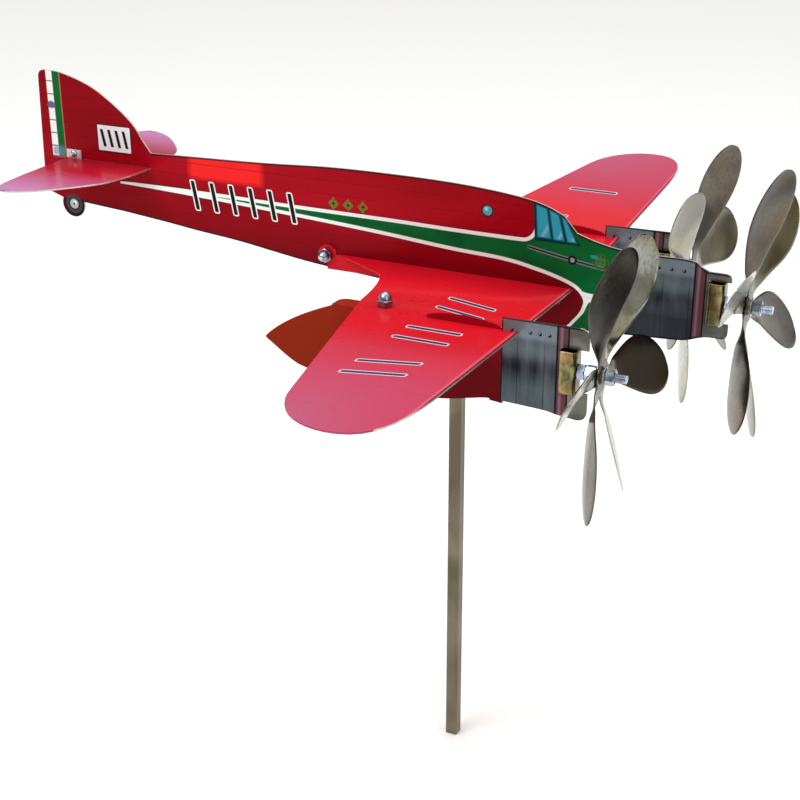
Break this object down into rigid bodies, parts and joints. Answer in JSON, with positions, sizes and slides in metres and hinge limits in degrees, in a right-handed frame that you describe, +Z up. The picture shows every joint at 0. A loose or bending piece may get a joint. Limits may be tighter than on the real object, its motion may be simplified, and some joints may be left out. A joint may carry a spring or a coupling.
{
  "type": "whirligig",
  "caption": "Flat sheet-metal aeroplane wind spinner that swivels on a square pole, with a freely spinning bladed rotor at the nose and on each wing engine.",
  "frame": {"origin": "centre of the square pole's bottom end, on the yaw axis", "axes": "+X towards the aeroplane's nose, +Y towards its port wing, +Z up the pole"},
  "size_m": [0.6116, 0.638, 0.5348],
  "materials": {
    "printed_enamel": "glossy dark red enamel on sheet steel with a printed green and white livery and bare cut edges",
    "polished_steel": "polished stainless sheet",
    "mount_steel": "bright stainless strip",
    "pole_steel": "brushed stainless square tube",
    "zinc_steel": "bright zinc plate",
    "bush": "turned brass",
    "washer_plastic": "plain nylon",
    "block_alloy": "milled"
  },
  "bodies": {
    "pole": {"pole_tube": "pole_steel", "pole_plug": "zinc_steel", "swivel_spindle": "zinc_steel", "thrust_washer": "washer_plastic"},
    "aircraft": {"bearing_block": "block_alloy", "block_front_bolt": "zinc_steel", "block_front_cap_nut": "zinc_steel", "block_rear_bolt": "zinc_steel", "block_rear_cap_nut": "zinc_steel", "fuselage_plate": "printed_enamel", "nacelle_port": "printed_enamel", "nacelle_port_bolt": "zinc_steel", "nacelle_port_cap_nut": "zinc_steel", "nacelle_starboard": "printed_enamel", "nacelle_starboard_bolt": "zinc_steel", "nacelle_starboard_cap_nut": "zinc_steel", "nose_axle_bolt": "zinc_steel", "nose_clamp_nut": "zinc_steel", "nose_engine_mount": "mount_steel", "nose_front_washer": "zinc_steel", "nose_lock_nut": "zinc_steel", "nose_rear_washer": "zinc_steel", "nose_spacer_nut": "zinc_steel", "port_axle_bolt": "zinc_steel", "port_clamp_nut": "zinc_steel", "port_engine_mount": "mount_steel", "port_front_washer": "zinc_steel", "port_lock_nut": "zinc_steel", "port_rear_washer": "zinc_steel", "port_spacer_nut": "zinc_steel", "starboard_axle_bolt": "zinc_steel", "starboard_clamp_nut": "zinc_steel", "starboard_engine_mount": "mount_steel", "starboard_front_washer": "zinc_steel", "starboard_lock_nut": "zinc_steel", "starboard_rear_washer": "zinc_steel", "starboard_spacer_nut": "zinc_steel", "tailplane": "printed_enamel", "tailplane_rivet": "zinc_steel", "wing_front_bolt": "zinc_steel", "wing_front_cap_nut": "zinc_steel", "wing_port": "printed_enamel", "wing_rear_bolt": "zinc_steel", "wing_rear_cap_nut": "zinc_steel", "wing_starboard": "printed_enamel"},
    "nose_rotor": {"nose_rear_blades": "polished_steel", "nose_front_blades": "polished_steel", "nose_rotor_bush": "bush"},
    "starboard_rotor": {"starboard_rear_blades": "polished_steel", "starboard_front_blades": "polished_steel", "starboard_rotor_bush": "bush"},
    "port_rotor": {"port_rear_blades": "polished_steel", "port_front_blades": "polished_steel", "port_rotor_bush": "bush"}
  },
  "joints": [
    {"name": "yaw", "type": "hinge", "parent": "pole", "child": "aircraft", "pos_m": [0, 0, 0.415], "axis": [0, 0, 1], "continuous": true},
    {"name": "nose_rotor_spin", "type": "hinge", "parent": "aircraft", "child": "nose_rotor", "pos_m": [0.2155, 0, 0.4215], "axis": [1, 0, 0], "continuous": true},
    {"name": "starboard_rotor_spin", "type": "hinge", "parent": "aircraft", "child": "starboard_rotor", "pos_m": [0.1475, -0.1098, 0.401], "axis": [1, 0, 0], "continuous": true},
    {"name": "port_rotor_spin", "type": "hinge", "parent": "aircraft", "child": "port_rotor", "pos_m": [0.1475, 0.1098, 0.401], "axis": [1, 0, 0], "continuous": true}
  ]
}
